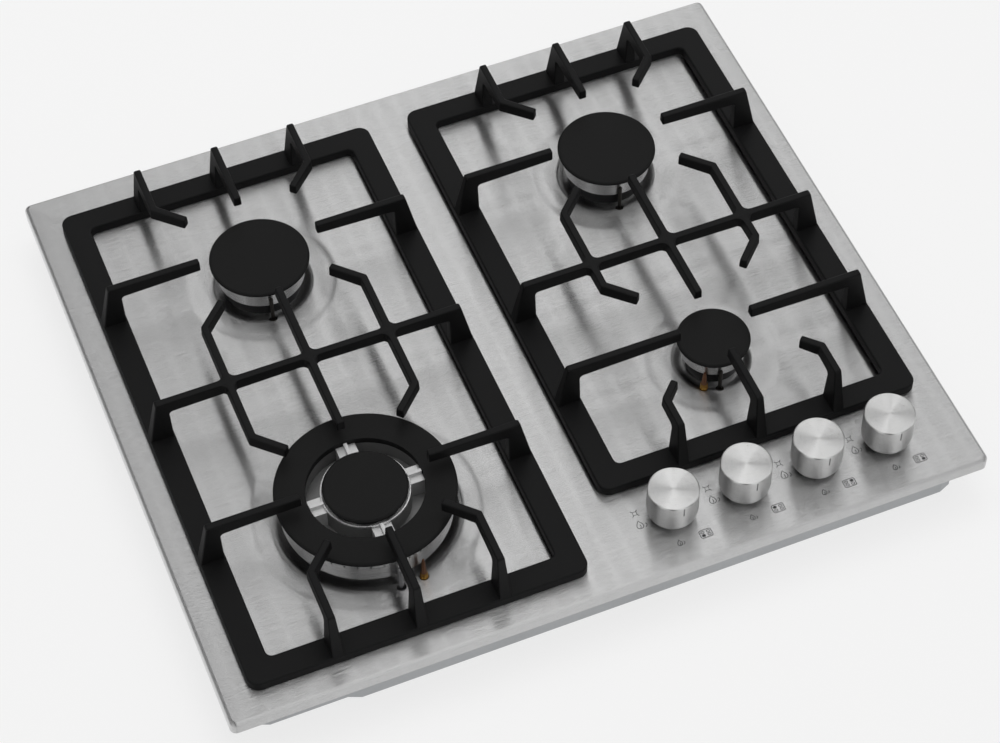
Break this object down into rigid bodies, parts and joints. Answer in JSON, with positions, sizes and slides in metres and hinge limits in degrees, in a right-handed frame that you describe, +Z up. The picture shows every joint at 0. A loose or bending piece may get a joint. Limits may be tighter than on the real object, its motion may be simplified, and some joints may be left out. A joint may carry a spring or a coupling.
{
  "type": "gas cooktop",
  "caption": "Built-in gas cooktop: pressed steel plate in a tray, cast pan supports, capped burners with spark ignition, and push-and-turn knobs.",
  "frame": {"origin": "middle of the cooktop's footprint, on the surface that the tray's underside stands on", "axes": "+X to the right seen from the user's side, +Y towards the rear, +Z up"},
  "size_m": [0.59, 0.51, 0.091],
  "materials": {
    "plate_steel": "brushed along X",
    "tray_steel": "plain zinc-coated",
    "cast_iron": "matt black enamel over a fine cast grain",
    "foot_rubber": "matt",
    "cap_enamel": "matt black enamel",
    "crown_aluminium": "turned and cast",
    "cup_dark": "satin black",
    "knob_metal": "spun, satin",
    "electrode_copper": "heat-coloured",
    "probe_steel": "plain",
    "valve_brass": "turned",
    "pipe_aluminium": "drawn",
    "moulding": "plain"
  },
  "bodies": {
    "hob": {"top_plate": "plate_steel", "under_tray": "tray_steel", "rear_left_burner_cup": "cup_dark", "rear_right_burner_cup": "cup_dark", "front_left_burner_cup": "cup_dark", "front_right_burner_cup": "cup_dark", "rear_left_spark_electrode": "electrode_copper", "rear_right_spark_electrode": "electrode_copper", "front_left_spark_electrode": "electrode_copper", "front_right_spark_electrode": "electrode_copper", "rear_left_thermocouple": "probe_steel", "rear_right_thermocouple": "probe_steel", "front_left_thermocouple": "probe_steel", "front_right_thermocouple": "probe_steel", "valve_body_1": "valve_brass", "valve_body_2": "valve_brass", "valve_body_3": "valve_brass", "valve_body_4": "valve_brass", "manifold_rail": "probe_steel", "rail_bracket_left": "tray_steel", "rail_bracket_right": "tray_steel", "gas_inlet": "valve_brass", "feed_pipe_rear_left": "pipe_aluminium", "feed_pipe_rear_right": "pipe_aluminium", "feed_pipe_front_left": "pipe_aluminium", "feed_pipe_front_right": "pipe_aluminium", "ignition_module": "moulding", "mains_gland": "foot_rubber"},
    "left_support": {"left_pan_support": "cast_iron", "left_support_foot_1": "foot_rubber", "left_support_foot_2": "foot_rubber", "left_support_foot_3": "foot_rubber", "left_support_foot_4": "foot_rubber"},
    "right_support": {"right_pan_support": "cast_iron", "right_support_foot_1": "foot_rubber", "right_support_foot_2": "foot_rubber", "right_support_foot_3": "foot_rubber", "right_support_foot_4": "foot_rubber"},
    "rear_left_crown": {"rear_left_crown": "crown_aluminium"},
    "rear_left_cap": {"rear_left_cap": "cap_enamel"},
    "rear_right_crown": {"rear_right_crown": "crown_aluminium"},
    "rear_right_cap": {"rear_right_cap": "cap_enamel"},
    "front_left_crown": {"front_left_crown": "crown_aluminium"},
    "front_left_cap": {"front_left_cap": "cap_enamel"},
    "front_right_crown": {"front_right_crown": "crown_aluminium"},
    "front_right_cap": {"front_right_cap": "cap_enamel"},
    "front_left_ring_cap": {"front_left_ring_cap": "cap_enamel"},
    "valve_plug_1": {"valve_plug_1": "valve_brass"},
    "knob_1": {"knob_1": "knob_metal", "spindle_1": "probe_steel"},
    "valve_plug_2": {"valve_plug_2": "valve_brass"},
    "knob_2": {"knob_2": "knob_metal", "spindle_2": "probe_steel"},
    "valve_plug_3": {"valve_plug_3": "valve_brass"},
    "knob_3": {"knob_3": "knob_metal", "spindle_3": "probe_steel"},
    "valve_plug_4": {"valve_plug_4": "valve_brass"},
    "knob_4": {"knob_4": "knob_metal", "spindle_4": "probe_steel"}
  },
  "joints": [
    {"name": "left_support_lift", "type": "slide", "parent": "hob", "child": "left_support", "axis": [0, 0, 1], "range_m": [0, 0.08]},
    {"name": "right_support_lift", "type": "slide", "parent": "hob", "child": "right_support", "axis": [0, 0, 1], "range_m": [0, 0.08]},
    {"name": "rear_left_crown_lift", "type": "slide", "parent": "hob", "child": "rear_left_crown", "axis": [0, 0, 1], "range_m": [0, 0.03]},
    {"name": "rear_left_cap_lift", "type": "slide", "parent": "rear_left_crown", "child": "rear_left_cap", "axis": [0, 0, 1], "range_m": [0, 0.03]},
    {"name": "rear_right_crown_lift", "type": "slide", "parent": "hob", "child": "rear_right_crown", "axis": [0, 0, 1], "range_m": [0, 0.03]},
    {"name": "rear_right_cap_lift", "type": "slide", "parent": "rear_right_crown", "child": "rear_right_cap", "axis": [0, 0, 1], "range_m": [0, 0.03]},
    {"name": "front_left_crown_lift", "type": "slide", "parent": "hob", "child": "front_left_crown", "axis": [0, 0, 1], "range_m": [0, 0.004]},
    {"name": "front_left_cap_lift", "type": "slide", "parent": "front_left_crown", "child": "front_left_cap", "axis": [0, 0, 1], "range_m": [0, 0.03]},
    {"name": "front_right_crown_lift", "type": "slide", "parent": "hob", "child": "front_right_crown", "axis": [0, 0, 1], "range_m": [0, 0.03]},
    {"name": "front_right_cap_lift", "type": "slide", "parent": "front_right_crown", "child": "front_right_cap", "axis": [0, 0, 1], "range_m": [0, 0.03]},
    {"name": "front_left_ring_cap_lift", "type": "slide", "parent": "front_left_crown", "child": "front_left_ring_cap", "axis": [0, 0, 1], "range_m": [0, 0.003]},
    {"name": "knob_1_turn", "type": "hinge", "parent": "hob", "child": "valve_plug_1", "pos_m": [0.0584, -0.2101, 0.043], "axis": [0, 0, 1], "range_deg": [0, 180]},
    {"name": "knob_1_push", "type": "slide", "parent": "valve_plug_1", "child": "knob_1", "axis": [0, 0, -1], "range_m": [0, 0.004], "stiffness_N_per_m": 800, "springref_m": -0.004},
    {"name": "knob_2_turn", "type": "hinge", "parent": "hob", "child": "valve_plug_2", "pos_m": [0.1162, -0.2101, 0.043], "axis": [0, 0, 1], "range_deg": [0, 180]},
    {"name": "knob_2_push", "type": "slide", "parent": "valve_plug_2", "child": "knob_2", "axis": [0, 0, -1], "range_m": [0, 0.004], "stiffness_N_per_m": 800, "springref_m": -0.004},
    {"name": "knob_3_turn", "type": "hinge", "parent": "hob", "child": "valve_plug_3", "pos_m": [0.174, -0.2101, 0.043], "axis": [0, 0, 1], "range_deg": [0, 180]},
    {"name": "knob_3_push", "type": "slide", "parent": "valve_plug_3", "child": "knob_3", "axis": [0, 0, -1], "range_m": [0, 0.004], "stiffness_N_per_m": 800, "springref_m": -0.004},
    {"name": "knob_4_turn", "type": "hinge", "parent": "hob", "child": "valve_plug_4", "pos_m": [0.2318, -0.2101, 0.043], "axis": [0, 0, 1], "range_deg": [0, 180]},
    {"name": "knob_4_push", "type": "slide", "parent": "valve_plug_4", "child": "knob_4", "axis": [0, 0, -1], "range_m": [0, 0.004], "stiffness_N_per_m": 800, "springref_m": -0.004}
  ]
}
